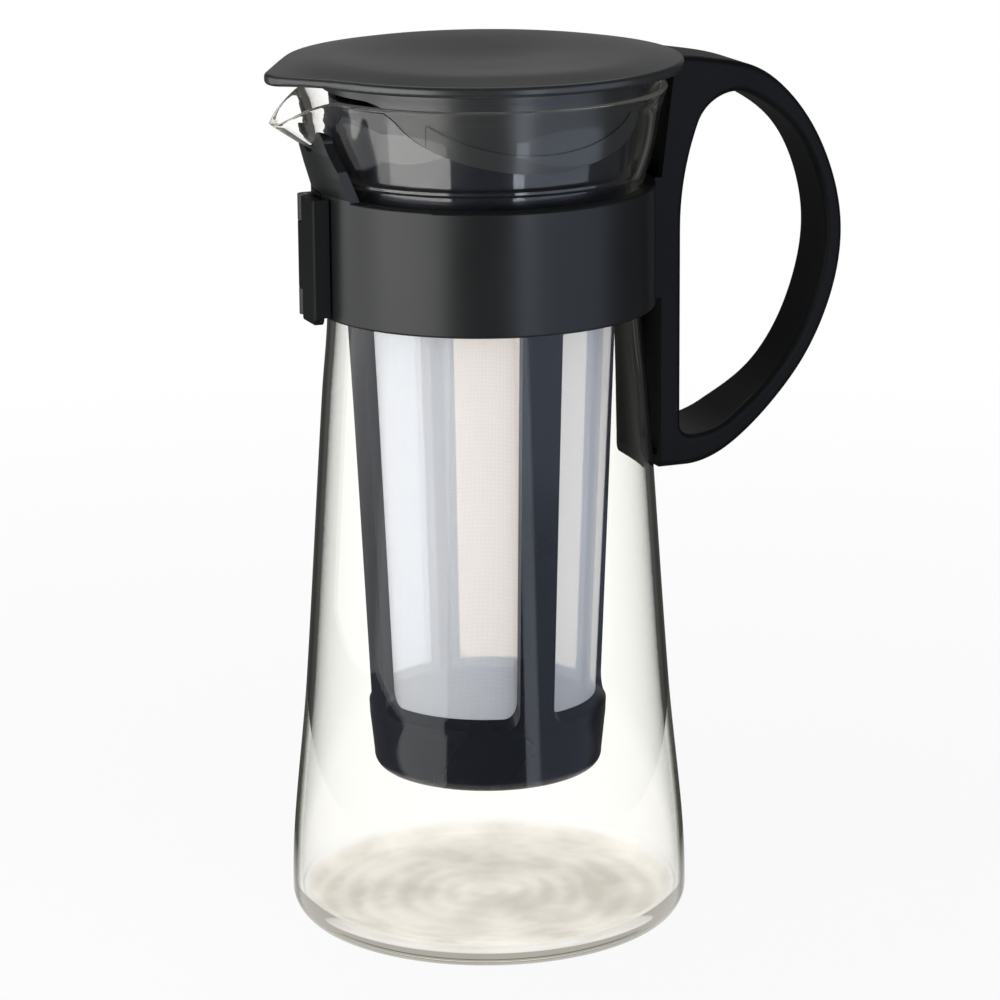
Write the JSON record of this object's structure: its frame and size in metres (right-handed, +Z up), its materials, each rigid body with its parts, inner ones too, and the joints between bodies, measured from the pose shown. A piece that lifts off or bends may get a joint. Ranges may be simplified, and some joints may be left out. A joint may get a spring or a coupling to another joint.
{
  "type": "cold brew coffee maker",
  "caption": "Cold brew coffee maker: glass jug with spout, plastic neck band with looped handle, hanging mesh filter and dished lid.",
  "frame": {"origin": "centre of the jug's underside", "axes": "+Z up, the spout points to -X and the handle to +X"},
  "size_m": [0.1419, 0.095, 0.208],
  "materials": {
    "clear_glass": "clear, polished",
    "charcoal_plastic": "satin moulded polypropylene",
    "black_plastic": "satin moulded polypropylene",
    "slate_plastic": "satin moulded polypropylene",
    "filter_mesh": "fine woven polyester mesh",
    "steel": "drawn steel pin"
  },
  "bodies": {
    "jug": {"glass_jug": "clear_glass", "neck_band": "charcoal_plastic", "handle": "black_plastic", "clasp_pin": "steel"},
    "clasp": {"clasp": "charcoal_plastic"},
    "filter": {"filter_frame": "slate_plastic", "mesh_panel_1": "filter_mesh", "mesh_panel_2": "filter_mesh", "mesh_panel_3": "filter_mesh", "mesh_panel_4": "filter_mesh"},
    "lid": {"lid": "charcoal_plastic"}
  },
  "joints": [
    {"name": "filter_lift", "type": "slide", "parent": "jug", "child": "filter", "axis": [0, 0, 1], "range_m": [0, 0.18]},
    {"name": "lid_lift", "type": "slide", "parent": "filter", "child": "lid", "axis": [0, 0, 1], "range_m": [0, 0.06]},
    {"name": "clasp_swing", "type": "hinge", "parent": "jug", "child": "clasp", "pos_m": [-0.04213, 0.0046, 0.1633], "axis": [0, 0, -1], "range_deg": [0, 100]}
  ]
}
